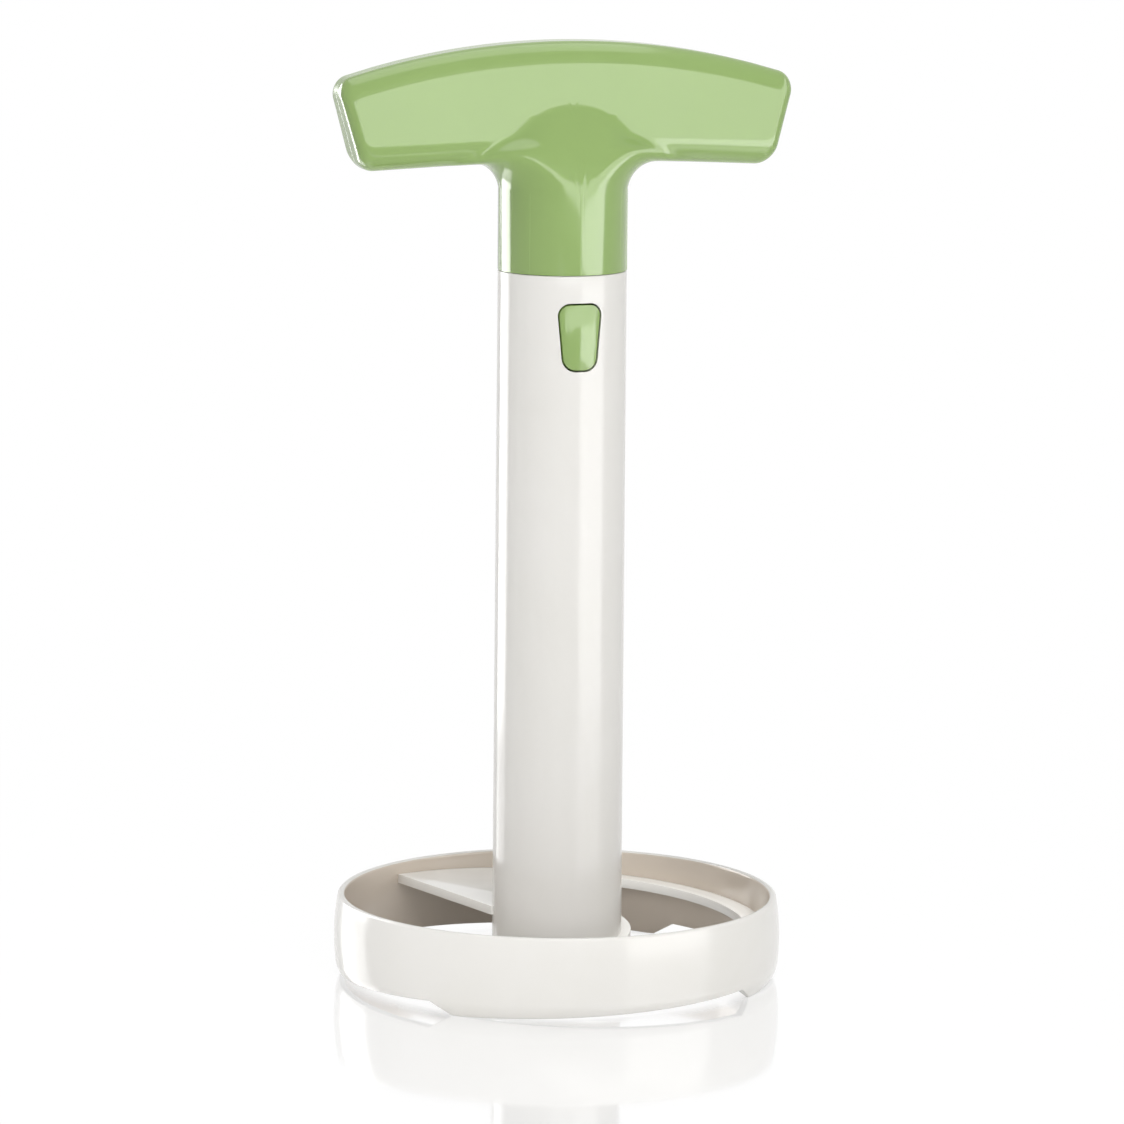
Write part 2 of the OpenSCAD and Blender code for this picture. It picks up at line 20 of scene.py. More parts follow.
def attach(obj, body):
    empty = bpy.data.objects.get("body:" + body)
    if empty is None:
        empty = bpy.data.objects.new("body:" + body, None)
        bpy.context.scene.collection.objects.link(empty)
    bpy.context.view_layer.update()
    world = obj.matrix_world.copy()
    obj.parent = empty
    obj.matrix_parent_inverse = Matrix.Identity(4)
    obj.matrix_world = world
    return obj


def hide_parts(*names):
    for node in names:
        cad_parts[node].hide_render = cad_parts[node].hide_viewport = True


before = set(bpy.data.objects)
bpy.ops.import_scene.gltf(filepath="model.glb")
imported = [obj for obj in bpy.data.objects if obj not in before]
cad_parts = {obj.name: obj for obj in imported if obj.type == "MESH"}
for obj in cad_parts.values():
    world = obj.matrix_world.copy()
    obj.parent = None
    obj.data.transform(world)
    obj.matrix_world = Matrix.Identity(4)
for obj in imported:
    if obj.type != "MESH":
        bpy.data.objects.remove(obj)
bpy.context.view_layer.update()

log = logging.getLogger("pineapple_cutter")

MM = 0.001

# Degrees between two faces: above SHARP their edge is rounded, and up to SMOOTH they are shaded as one.
SHARP = 50.0
SMOOTH = 35.0

Flat = tuple[float, float]
Point = tuple[float, float, float]


class Part(Enum):
    """Kinds of mesh element that can be selected."""

    VERTS = "verts"
    EDGES = "edges"
    FACES = "faces"


class Side(Enum):
    """The two shells of the handle, by the direction they face along Y."""

    FRONT = -1
    REAR = 1


class Cut(Enum):
    """What a tool does to a piece."""

    REMOVE = "DIFFERENCE"
    ADD = "UNION"


def mix(a: float, b: float, u: float) -> float:
    """Straight blend between two values."""
    return a + (b - a) * u


def steps(a: float, b: float, count: int) -> list[float]:
    """Evenly spaced values from a to b, both included."""
    return [mix(a, b, i / count) for i in range(count + 1)]


def ramp(value: float, low: float, high: float) -> float:
    """Smooth rise from 0 at the low value to 1 at the high one."""
    share = min(max((value - low) / (high - low), 0.0), 1.0)
    return share * share * (3 - 2 * share)


def polar(radius: float, degrees: float) -> Flat:
    """Point on a circle about the axis."""
    return radius * math.cos(math.radians(degrees)), radius * math.sin(math.radians(degrees))


def fuse(a: float, b: float, reach: float) -> float:
    """Larger of two heights, with a rounded valley where they come within reach of each other."""
    return max(a, b) + max(reach - abs(a - b), 0) ** 2 / (4 * reach)


def corner(before: Flat, at: Flat, after: Flat, radius: float, count: int, warp: float = 0.0) -> list[Flat]:
    """Rounds a corner.

    Args:
        before: Point that the outline comes from.
        at: The sharp corner.
        after: Point that the outline goes to.
        radius: Radius of the rounding.
        count: Number of steps on the arc.
        warp: 0 spaces the points evenly along the arc, 1 evenly away from the line that it starts on.

    Returns:
        The points of the arc, in the outline's direction.
    """
    tip = Vector(at)
    a = (Vector(before) - tip).normalized()
    b = (Vector(after) - tip).normalized()
    half = a.angle(b) / 2
    centre = tip + (a + b).normalized() * radius / math.sin(half)
    start = tip + a * radius / math.tan(half) - centre
    end = tip + b * radius / math.tan(half) - centre
    first = math.atan2(start.y, start.x)
    turn = (math.atan2(end.y, end.x) - first + 3 * math.pi) % (2 * math.pi) - math.pi
    shares = [mix(u, math.acos(1 - u) / (math.pi / 2), warp) for u in steps(0, 1, count)]
    return [
        (centre.x + radius * math.cos(first + turn * u), centre.y + radius * math.sin(first + turn * u))
        for u in shares
    ]


def rounded(points: Sequence[Flat], radii: Sequence[float], count: int) -> list[Flat]:
    """Rounds every corner of an outline.

    Args:
        points: The sharp corners, in order.
        radii: Radius of the rounding at each of them.
        count: Number of steps on each rounding.

    Returns:
        The points of the closed outline.
    """
    total = len(points)
    outline: list[Flat] = []
    for i, point in enumerate(points):
        outline += corner(points[i - 1], point, points[(i + 1) % total], radii[i], count)
    return outline


def deselect() -> None:
    """Leaves nothing selected, CAD nodes included."""
    bpy.ops.object.select_all(action="DESELECT")


def select_only(obj: bpy.types.Object) -> None:
    """Selects one object alone and makes it the active one.

    Args:
        obj: The object that the next operator acts on.
    """
    deselect()
    obj.select_set(True)
    bpy.context.view_layer.objects.active = obj


@contextmanager
def editing(obj: bpy.types.Object) -> Iterator[None]:
    """Opens an object in edit mode with all of its mesh selected, and closes it again.

    Args:
        obj: The object that is edited inside the block.
    """
    select_only(obj)
    bpy.ops.object.mode_set(mode="EDIT")
    bpy.context.tool_settings.mesh_select_mode = (True, False, False)
    bpy.ops.mesh.select_all(action="SELECT")
    yield
    bpy.ops.object.mode_set(mode="OBJECT")


def pick(obj: bpy.types.Object, part: Part, test: Callable[[object], bool]) -> int:
    """Selects parts of the mesh that is open in edit mode.

    Args:
        obj: The object in edit mode.
        part: Which kind of element is selected.
        test: Says of one element whether it is selected.

    Returns:
        The number of elements selected.
    """
    bpy.ops.mesh.select_all(action="DESELECT")
    bpy.context.tool_settings.mesh_select_mode = tuple(kind is part for kind in Part)
    mesh = bmesh.from_edit_mesh(obj.data)
    found = [element for element in getattr(mesh, part.value) if test(element)]
    for element in found:
        element.select_set(True)
    mesh.select_flush_mode()
    bmesh.update_edit_mesh(obj.data)
    return len(found)


def drop_to(obj: bpy.types.Object, points: Sequence[Point]) -> None:
    """Moves the selected ring of vertices to new places.

    Args:
        obj: The object in edit mode, whose vertices are numbered by the layer "place".
        points: The new places, by number.
    """
    mesh = bmesh.from_edit_mesh(obj.data)
    place = mesh.verts.layers.int["place"]
    for vert in mesh.verts:
        if vert.select:
            vert.co = Vector(points[vert[place]]) * MM
    bmesh.update_edit_mesh(obj.data)


def loop(name: str, points: Sequence[Point]) -> bpy.types.Object:
    """Adds a closed loop of edges, with its vertices numbered.

    Args:
        name: Name of the new piece.
        points: The places that the loop runs through.

    Returns:
        The loop, without faces.
    """
    deselect()
    bpy.ops.mesh.primitive_circle_add(vertices=len(points), radius=MM)
    obj = bpy.context.object
    obj.name = obj.data.name = name
    with editing(obj):
        mesh = bmesh.from_edit_mesh(obj.data)
        place = mesh.verts.layers.int.new("place")
        for number, vert in enumerate(mesh.verts):
            vert[place] = number
        drop_to(obj, points)
    return obj


def loft(name: str, rings: Sequence[Sequence[Point]], closed: bool) -> bpy.types.Object:
    """Extrudes a loop from ring to ring.

    Args:
        name: Name of the new piece.
        rings: Closed rings of points, all with the same number of them.
        closed: Whether the two ends are filled.

    Returns:
        The skin through the rings.
    """
    obj = loop(name, rings[0])
    with editing(obj):
        for ring in rings[1:]:
            bpy.ops.mesh.extrude_region_move()
            drop_to(obj, ring)
        if closed:
            close_ends(obj)
    return obj


def close_ends(obj: bpy.types.Object) -> None:
    """Fills each open loop of a mesh and turns its faces outwards.

    Args:
        obj: The object in edit mode.
    """
    count = pick(obj, Part.EDGES, lambda edge: edge.is_boundary)
    bpy.ops.mesh.fill_holes(sides=count)
    bpy.ops.mesh.select_all(action="SELECT")
    bpy.ops.mesh.normals_make_consistent(inside=False)


def prism(name: str, outline: Sequence[Flat], near: float, far: float) -> bpy.types.Object:
    """Extrudes an outline in the X-Z plane along Y."""
    return loft(name, [[(x, y, z) for x, z in outline] for y in (near, far)], True)


def lathe(name: str, section: Sequence[Flat], count: int) -> bpy.types.Object:
    """Spins a closed section of radius and height round the axis.

    Args:
        name: Name of the new piece.
        section: Closed outline of the wall, as radius and height.
        count: Number of steps round the axis.

    Returns:
        The closed ring-shaped solid.
    """
    obj = loop(name, [(radius, 0, height) for radius, height in section])
    with editing(obj):
        bpy.ops.mesh.spin(steps=count, angle=2 * math.pi, center=(0, 0, 0), axis=(0, 0, 1))
        bpy.ops.mesh.select_all(action="SELECT")
        bpy.ops.mesh.remove_doubles(threshold=MM / 1000)
        bpy.ops.mesh.normals_make_consistent(inside=False)
    return obj


def sheet(name: str, columns: int, rows: int, at: Callable[[int, int], Point]) -> bpy.types.Object:
    """Adds a grid and lays it over a surface.

    Args:
        name: Name of the new piece.
        columns: Number of vertices along the grid.
        rows: Number of vertices across it.
        at: Gives the place of the vertex in a column and a row.

    Returns:
        The open sheet.
    """
    deselect()
    bpy.ops.mesh.primitive_grid_add(x_subdivisions=columns - 1, y_subdivisions=rows - 1, size=2)
    obj = bpy.context.object
    obj.name = obj.data.name = name
    with editing(obj):
        mesh = bmesh.from_edit_mesh(obj.data)
        for vert in mesh.verts:
            column = round((vert.co.x + 1) / 2 * (columns - 1))
            row = round((vert.co.y + 1) / 2 * (rows - 1))
            vert.co = Vector(at(column, row)) * MM
        bmesh.update_edit_mesh(obj.data)
    return obj


def weld(pieces: Sequence[bpy.types.Object]) -> bpy.types.Object:
    """Joins pieces and merges the points where they meet.

    Args:
        pieces: The pieces, of which the first takes in the others.

    Returns:
        The first piece.
    """
    deselect()
    for piece in pieces:
        piece.select_set(True)
    bpy.context.view_layer.objects.active = pieces[0]
    bpy.ops.object.join()
    with editing(pieces[0]):
        bpy.ops.mesh.remove_doubles(threshold=MM / 1000)
        bpy.ops.mesh.normals_make_consistent(inside=False)
    return pieces[0]


def modify(obj: bpy.types.Object, kind: str, **settings: object) -> None:
    """Adds a modifier and applies it.

    Args:
        obj: The piece.
        kind: Blender's name of the modifier type.
        settings: Attributes of the modifier.
    """
    select_only(obj)
    bpy.ops.object.modifier_add(type=kind)
    modifier = obj.modifiers[-1]
    for key, value in settings.items():
        setattr(modifier, key, value)
    bpy.ops.object.modifier_apply(modifier=modifier.name)


def carve(obj: bpy.types.Object, tool: bpy.types.Object, cut: Cut) -> None:
    """Takes a tool's solid out of a piece, or adds it, and throws the tool away."""
    modify(obj, "BOOLEAN", object=tool, operation=cut.value, solver="EXACT")
    bpy.data.objects.remove(tool)


def ease(
    obj: bpy.types.Object,
    width: float,
    sharp: float,
    where: Callable[[Vector], bool] = lambda place: True,
    count: int = 2,
) -> None:
    """Rounds the sharp outward edges of a piece.

    Args:
        obj: The piece.
        width: Width of the rounding in millimetres.
        sharp: Least angle in degrees between the faces of a sharp edge.
        where: Says of an edge's middle, in millimetres, whether the edge is rounded.
        count: Number of steps on the rounding.
    """
    least = math.radians(sharp)
    with editing(obj):
        found = pick(
            obj,
            Part.EDGES,
            lambda edge: len(edge.link_faces) == 2
            and edge.is_convex
            and edge.calc_face_angle(0) > least
            and where((edge.verts[0].co + edge.verts[1].co) / 2 / MM),
        )
        if found:
            bpy.ops.mesh.bevel(offset=width * MM, segments=count, affect="EDGES", clamp_overlap=True)


def copy_node(node: str, name: str) -> bpy.types.Object:
    """Copies a CAD node's mesh and joins its loose triangles into clean faces.

    Args:
        node: Name of the CAD node.
        name: Name of the new piece.

    Returns:
        The copy, with its flat faces whole.
    """
    obj = bpy.data.objects.new(name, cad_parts[node].data.copy())
    obj.data.name = name
    bpy.context.scene.collection.objects.link(obj)
    with editing(obj):
        bpy.ops.mesh.remove_doubles(threshold=MM / 500)
        bpy.ops.mesh.dissolve_limited(angle_limit=math.radians(0.5))
    return obj


def settle(
    obj: bpy.types.Object,
    body: str,
    node: str,
    material: bpy.types.Material,
    smooth: float = SMOOTH,
) -> bpy.types.Object:
    """Finishes a piece and puts it in the place of its CAD node.

    Args:
        obj: The piece, modelled in place.
        body: CAD body that it rides on.
        node: CAD node that it stands for.
        material: Its finish.
        smooth: Angle in degrees up to which its faces are shaded as one surface.

    Returns:
        The same piece.
    """
    select_only(obj)
    bpy.ops.object.shade_smooth_by_angle(angle=math.radians(smooth))
    obj.data.materials.clear()
    obj.data.materials.append(material)
    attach(obj, body)
    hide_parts(node)
    log.info("%s stands for %s with %d faces", obj.name, node, len(obj.data.polygons))
    return obj


def linear(hex_colour: str) -> tuple[float, float, float, float]:
    """Turns an sRGB colour into a linear one.

    Args:
        hex_colour: The colour as a hex value, such as "9cba72".

    Returns:
        Red, green, blue and full alpha.
    """
    channels = [int(hex_colour[i : i + 2], 16) / 255 for i in (0, 2, 4)]
    red, green, blue = [c / 12.92 if c <= 0.04045 else ((c + 0.055) / 1.055) ** 2.4 for c in channels]
    return red, green, blue, 1.0


def empty_tree(owner: bpy.types.Material | bpy.types.World) -> bpy.types.NodeTree:
    """Turns on the nodes of a material or a world.

    Args:
        owner: The material or world.

    Returns:
        Its node tree, cleared.
    """
    owner.use_nodes = True
    owner.node_tree.nodes.clear()
    return owner.node_tree


def add_node(
    tree: bpy.types.NodeTree, kind: str, inputs: dict[str | int, object] | None = None, **settings: object
) -> bpy.types.Node:
    """Adds a node to a tree.

    Args:
        tree: The node tree.
        kind: Blender's name of the node type.
        inputs: Values for its sockets by name or number; another node's output is linked.
        settings: Attributes of the node.

    Returns:
        The new node.
    """
    node = tree.nodes.new(kind)
    for key, value in settings.items():
        setattr(node, key, value)
    for key, value in (inputs or {}).items():
        if isinstance(value, bpy.types.NodeSocket):
            tree.links.new(value, node.inputs[key])
        else:
            node.inputs[key].default_value = value
    return node


def seen_directly(tree: bpy.types.NodeTree) -> bpy.types.NodeSocket:
    """Adds a mask for what the camera sees, also in a mirror or through glass.

    Args:
        tree: The node tree.

    Returns:
        The output that is 1 for such rays and 0 for others.
    """
    rays = add_node(tree, "ShaderNodeLightPath").outputs
    mask = rays["Is Camera Ray"]
    for kind in ("Is Glossy Ray", "Is Transmission Ray"):
        either = add_node(tree, "ShaderNodeMath", {0: mask, 1: rays[kind]}, operation="MAXIMUM")
        mask = either.outputs["Value"]
    return mask


@dataclass(frozen=True)
class MouldedPlastic:
    """Polished ABS from a steel mould: an even body colour under a glossy skin."""

    name: str
    colour: str
    flow_colour: str
    roughness: float
    handled_roughness: float
    ior: float = 1.53
    flow_size: float = 38.0
    handling_size: float = 9.0
    peel_size: float = 1.6
    peel_depth: float = 0.0012
    flow_range: Flat = (0.35, 0.7)
    handling_range: Flat = (0.35, 0.75)
    # Painted shade for the wall at one radius: a darker colour that stands in for light that does not reach it.
    painted_shade_colour: str = ""
    painted_shade_r: float = 0.0
    painted_shade_band: float = 0.15

    def material(self) -> bpy.types.Material:
        """Makes the node material: flow marks in the colour, handled patches in the gloss, orange peel.

        Returns:
            The material; where a shade colour is given, that colour is painted shade, a beige wall at its
            radius.
        """
        made = bpy.data.materials.new(self.name)
        tree = empty_tree(made)
        place = add_node(tree, "ShaderNodeTexCoord").outputs["Object"]
        flow = add_node(
            tree,
            "ShaderNodeTexNoise",
            {"Vector": place, "Scale": 1 / (self.flow_size * MM), "Detail": 3.0, "Distortion": 1.2},
        )
        tone = add_node(tree, "ShaderNodeValToRGB", {"Fac": flow.outputs["Fac"]})
        stops = zip(tone.color_ramp.elements, self.flow_range, (self.colour, self.flow_colour))
        for stop, position, colour in stops:
            stop.position = position
            stop.color = linear(colour)
        handled = add_node(
            tree,
            "ShaderNodeTexNoise",
            {"Vector": place, "Scale": 1 / (self.handling_size * MM), "Detail": 6.0, "Roughness": 0.6},
        )
        gloss = add_node(
            tree,
            "ShaderNodeMapRange",
            {
                "Value": handled.outputs["Fac"],
                "From Min": self.handling_range[0],
                "From Max": self.handling_range[1],
                "To Min": self.roughness,
                "To Max": self.handled_roughness,
            },
        )
        peel = add_node(
            tree,
            "ShaderNodeTexNoise",
            {"Vector": place, "Scale": 1 / (self.peel_size * MM), "Detail": 1.0},
        )
        skin = add_node(
            tree,
            "ShaderNodeBump",
            {"Height": peel.outputs["Fac"], "Strength": 1.0, "Distance": self.peel_depth * MM},
        )
        body = tone.outputs["Color"]
        # Painted shade: the wall at the given radius takes the beige shade colour in place of the body colour.
        if self.painted_shade_colour:
            level = add_node(tree, "ShaderNodeVectorMath", {0: place, 1: (1, 1, 0)}, operation="MULTIPLY")
            radius = add_node(tree, "ShaderNodeVectorMath", {0: level.outputs["Vector"]}, operation="LENGTH")
            wall = add_node(
                tree,
                "ShaderNodeMath",
                {0: radius.outputs["Value"], 1: self.painted_shade_r * MM, 2: self.painted_shade_band * MM},
                operation="COMPARE",
            )
            body = add_node(
                tree,
                "ShaderNodeMix",
                {0: wall.outputs["Value"], 6: body, 7: linear(self.painted_shade_colour)},
                data_type="RGBA",
            ).outputs[2]
        shader = add_node(
            tree,
            "ShaderNodeBsdfPrincipled",
            {
                "Base Color": body,
                "Roughness": gloss.outputs["Result"],
                "Normal": skin.outputs["Normal"],
                "IOR": self.ior,
            },
        )
        add_node(tree, "ShaderNodeOutputMaterial", {"Surface": shader.outputs["BSDF"]})
        return made


# White ABS, moulded and polished: a clean warm white with a wet-looking gloss that streaks down the tube. The
# ring's inner wall gets painted shade: a beige colour stands in for the dim light that goes back and forth
# there.
WHITE_ABS = MouldedPlastic(
    "moulded_white_abs", "dfddd9", "dcdad5", 0.13, 0.19, ior=1.37, painted_shade_colour="cdc2b5", painted_shade_r=45.2
)

# Leaf-green ABS, moulded and polished: a soft yellow-green whose gloss shows the lamps as pale panels.
GREEN_ABS = MouldedPlastic("moulded_leaf_green_abs", "96b566", "93b262", 0.1, 0.15, ior=1.6)


@dataclass
class Stem:
    """Coring tube, toothed ring and helical blade, which hold together."""

    ring_bore_r: float = 45.2
    ring_wall: float = 1.4
    ring_belly: float = 0.9
    belly_share: float = 0.35
    ring_h: float = 17.8
    bevel_h: float = 4.0
    edge_t: float = 0.6
    tooth_count: int = 4
    tooth_h: float = 2.7
    tooth_phase: float = 39.0
    tooth_steep: float = 6.0
    tooth_tip: float = 2.5
    blade_pitch: float = 13.5
    blade_t: float = 1.9
    blade_edge_t: float = 0.5
    blade_drop: float = 5.1
    blade_trail: float = 123.0
    blade_lead: float = 57.0
    trail_turn: float = 52.0
    ledge_w: float = 4.4
    rib_w: float = 2.0
    ledge_end_h: float = 3.4
    blade_tip_w: float = 0.5
    blade_sink: float = 0.3
    blade_round: float = 0.2
    grind_turn: float = 6.0
    tube_bore_r: float = 11.6
    tube_top_r: float = 13.55
    tube_foot_r: float = 13.8
    tube_top_h: float = 151.1
    tube_foot_h: float = 1.2
    core_bevel_h: float = 2.8
    core_edge_t: float = 0.6
    top_round: float = 0.25
    key_w: float = 3.0
    key_depth: float = 1.3
    key_len: float = 34.0
    key_drop: float = 2.0
    window_h: float = 14.4
    window_top_w: float = 10.0
    window_low_w: float = 7.4
    window_top_round: float = 2.6
    window_low_round: float = 3.0
    window_drop: float = 5.7
    window_edge: float = 0.3
    window_steps: int = 12
    tube_steps: int = 192
    tube_levels: int = 60
    bore_levels: int = 20
    key_round: float = 0.4
    key_root_round: float = 0.1
    ring_steps: int = 720
    ring_levels: int = 16
    foot_levels: int = 8
    ring_smooth: float = 40.0
    tooth_round: float = 0.16
    ledge_columns: int = 80
    plate_columns: int = 33
    trail_columns: int = 26
    rib_rows: int = 2
    plate_rows: int = 10
    ledge_rows: int = 3

    def tube_r(self, height: float) -> float:
        """Outer radius of the slightly conical tube."""
        share = (height - self.tube_foot_h) / (self.tube_top_h - self.tube_foot_h)
        return mix(self.tube_foot_r, self.tube_top_r, share)

    def ring_r(self, height: float) -> float:
        """Outer radius of the ring, bulging above its bevel and drawn in below it.

        Args:
            height: Height on the ring's wall.

        Returns:
            The radius there.
        """
        if height < self.bevel_h:
            edge = self.ring_bore_r + self.edge_t
            share = max(height, 0) / self.bevel_h
            return edge + (self.ring_r(self.bevel_h) - edge) * math.sin(share * math.pi / 2)
        widest = mix(self.bevel_h, self.ring_h, self.belly_share)
        share = (height - widest) / (self.ring_h - widest)
        return self.ring_bore_r + self.ring_wall + self.ring_belly * (1 - share * share)

    def window_outline(self) -> list[Flat]:
        """Draws the button's window.

        Returns:
            The shield-shaped outline in the X-Z plane.
        """
        high = self.tube_top_h - self.window_drop
        low = high - self.window_h
        top, foot = self.window_top_w / 2, self.window_low_w / 2
        radii = [self.window_top_round] * 2 + [self.window_low_round] * 2
        corners = [(-top, high), (top, high), (foot, low), (-foot, low)]
        return rounded(corners, radii, self.window_steps)

    def build_tube(self) -> bpy.types.Object:
        """Makes the tube: coring bevel, rounded top, window and the two keys inside.

        Returns:
            The closed tube.
        """
        bevel_top = self.tube_foot_h + self.core_bevel_h
        rounding = self.top_round
        outside = [
            (self.tube_r(h), h) for h in steps(bevel_top, self.tube_top_h - rounding, self.tube_levels)
        ]
        lip = [
            (
                self.tube_top_r - rounding + rounding * math.cos(a),
                self.tube_top_h - rounding + rounding * math.sin(a),
            )
            for a in (math.pi / 6, math.pi / 3, math.pi / 2)
        ]
        inside = [(self.tube_bore_r, h) for h in steps(self.tube_top_h, self.tube_foot_h, self.bore_levels)]
        edge = [(self.tube_bore_r + self.core_edge_t, self.tube_foot_h)]
        tube = lathe("coring_tube", inside + edge + outside + lip, self.tube_steps)
        for side in (-1, 1):
            carve(tube, self.build_key(side), Cut.ADD)
        outline = self.window_outline()
        carve(tube, prism("window_tool", outline, -self.tube_bore_r / 2, -self.tube_foot_r - 5), Cut.REMOVE)
        low = outline[-1][1] - 1
        ease(
            tube,
            self.window_edge,
            SHARP,
            lambda at: abs(at.x) < self.window_top_w
            and at.y < 0
            and low < at.z < self.tube_top_h - self.window_drop + 1,
            3,
        )
        return tube

    def build_key(self, side: int) -> bpy.types.Object:
        """Makes one rounded key for the inside of the tube.

        Args:
            side: -1 for the left key, 1 for the right one.

        Returns:
            The key, with its root in the tube's wall.
        """
        top = self.tube_top_h - self.key_drop
        inner = self.tube_bore_r - self.key_depth
        root = self.tube_bore_r + (self.tube_top_r - self.tube_bore_r) / 2
        half = self.key_w / 2
        corners = [(inner, -half), (inner, half), (root, half), (root, -half)]
        outline = rounded(corners, [self.key_round] * 2 + [self.key_root_round] * 2, 3)
        rings = [[(side * x, side * y, z) for x, y in outline] for z in (top - self.key_len, top)]
        return loft("key_tool", rings, True)

    def tooth_line(self, degrees: float) -> float:
        """Height of the ring's lower edge: a long ramp up from each tip, then a steep face down.

        Args:
            degrees: Angle about the axis.

        Returns:
            The height there.
        """
        span = 360 / self.tooth_count
        turn = (degrees - self.tooth_phase) % span
        if turn < self.tooth_steep:
            return self.tooth_h * (1 - turn / self.tooth_steep)
        if turn < self.tooth_steep + self.tooth_tip:
            return 0.0
        start = self.tooth_steep + self.tooth_tip
        return self.tooth_h * (turn - start) / (span - start)

    def build_ring(self) -> bpy.types.Object:
        """Makes the ring: round rim, bulging wall, and a bevelled foot drawn up into saw teeth.

        Returns:
            The closed ring.
        """
        rim = self.ring_wall / 2
        rim_h = self.ring_h - rim
        rim_r = self.ring_bore_r + rim
        outside = [(self.ring_r(h), h) for h in steps(0, self.bevel_h, self.foot_levels)[:-1]]
        outside += [(self.ring_r(h), h) for h in steps(self.bevel_h, rim_h, self.ring_levels)]
        shoulder = self.ring_r(rim_h) - rim_r
        crown = []
        for degrees in range(15, 181, 15):
            across, up = polar(1, degrees)
            crown.append((rim_r + (shoulder if degrees < 90 else rim) * across, rim_h + rim * up))
        inside = [(self.ring_bore_r, h) for h in steps(rim_h, 0, self.ring_levels)[1:]]
        ring = lathe("cutter_ring_toothed", inside + outside + crown, self.ring_steps)
        with editing(ring):
            mesh = bmesh.from_edit_mesh(ring.data)
            for vert in mesh.verts:
                self.draw_up(vert)
            bmesh.update_edit_mesh(ring.data)
        ease(ring, self.tooth_round, SHARP, lambda at: at.z < self.bevel_h)
        return ring

    def draw_up(self, vert: bmesh.types.BMVert) -> None:
        """Moves a vertex of the ring's foot up onto the saw-tooth line, along the bevel.

        Args:
            vert: Any vertex of the ring in edit mode; one above the foot stays.
        """
        at = vert.co / MM
        if at.z >= self.bevel_h:
            return
        radius = math.hypot(at.x, at.y)
        low = self.tooth_line(math.degrees(math.atan2(at.y, at.x)))
        height = mix(low, self.bevel_h, max(at.z, 0) / self.bevel_h)
        outside = radius > self.ring_bore_r + self.edge_t / 2
        grown = self.ring_r(height) - self.ring_r(at.z) if outside else 0.0
        vert.co = Vector((at.x, at.y, 0)) * MM * (radius + grown) / radius + Vector((0, 0, height * MM))

    def helix_h(self, degrees: float) -> float:
        """Height of the blade's top: a helix up to the trailing corner, and level from there."""
        lead_h = self.ring_h - self.blade_drop
        return lead_h + self.blade_pitch * (min(degrees, self.blade_trail) - self.blade_lead) / 360

    def blade_radii(self, degrees: float) -> list[float]:
        """Radii of the blade's rows, from the tube over rib, plate and ledge to the outer edge.

        Args:
            degrees: Angle about the axis.

        Returns:
            The radii there, from the inside out.
        """
        tip = self.blade_trail + self.trail_turn
        start = Vector(polar(self.ring_bore_r, self.blade_trail))
        end = Vector(polar(self.tube_r(self.helix_h(tip)) + self.blade_tip_w, tip))
        along = (end - start).normalized()
        normal = Vector((along.y, -along.x))
        inner = self.tube_r(self.helix_h(degrees) - self.blade_t) - self.blade_sink
        if degrees <= self.blade_trail:
            outer = self.ring_bore_r + self.blade_sink
        else:
            outer = start.dot(normal) / Vector(polar(1, degrees)).dot(normal)
        third = (outer - inner) / 3
        rib = inner + min(self.rib_w + self.blade_sink, third)
        ledge = outer - min(self.ledge_w + self.blade_sink, third)
        plate = steps(inner, rib, self.rib_rows)[:-1] + steps(rib, ledge, self.plate_rows)[:-1]
        return plate + steps(ledge, outer, self.ledge_rows)

    def build_blade(self) -> bpy.types.Object:
        """Makes the blade: plate between ring and tube, with ledge and rib running on below its cutting edge.

        Returns:
            The closed blade.
        """
        lead_h = self.ring_h - self.blade_drop
        foot = self.blade_lead - (lead_h - self.blade_t - self.ledge_end_h) * 360 / self.blade_pitch
        angles = steps(foot, self.blade_lead, self.ledge_columns)[:-1]
        angles += steps(self.blade_lead, self.blade_trail, self.plate_columns)[:-1]
        angles += steps(self.blade_trail, self.blade_trail + self.trail_turn, self.trail_columns)
        radii = [self.blade_radii(a) for a in angles]

        def at(column: int, row: int) -> Point:
            """Place of a grid point on the helix."""
            x, y = polar(radii[column][row], angles[column])
            return x, y, self.helix_h(angles[column])

        blade = sheet("helical_blade", len(angles), len(radii[0]), at)
        open_rows = range(self.rib_rows, self.rib_rows + self.plate_rows)
        places = set()
        for column in range(self.ledge_columns):
            for row in open_rows:
                corners = [Vector(at(column + i, row + j)) for i in (0, 1) for j in (0, 1)]
                places.add(tuple(round(c, 2) for c in sum(corners, Vector()) / 4))
        with editing(blade):
            pick(
                blade,
                Part.FACES,
                lambda face: tuple(round(c, 2) for c in face.calc_center_median() / MM) in places,
            )
            bpy.ops.mesh.delete(type="FACE")
            bpy.ops.mesh.select_all(action="SELECT")
            bpy.ops.mesh.normals_make_consistent(inside=False)
        modify(blade, "SOLIDIFY", thickness=self.blade_t * MM, offset=-1.0, use_even_offset=False)
        with editing(blade):
            mesh = bmesh.from_edit_mesh(blade.data)
            for vert in mesh.verts:
                self.sharpen(vert)
            bmesh.update_edit_mesh(blade.data)
        ease(blade, self.blade_round, SHARP)
        return blade

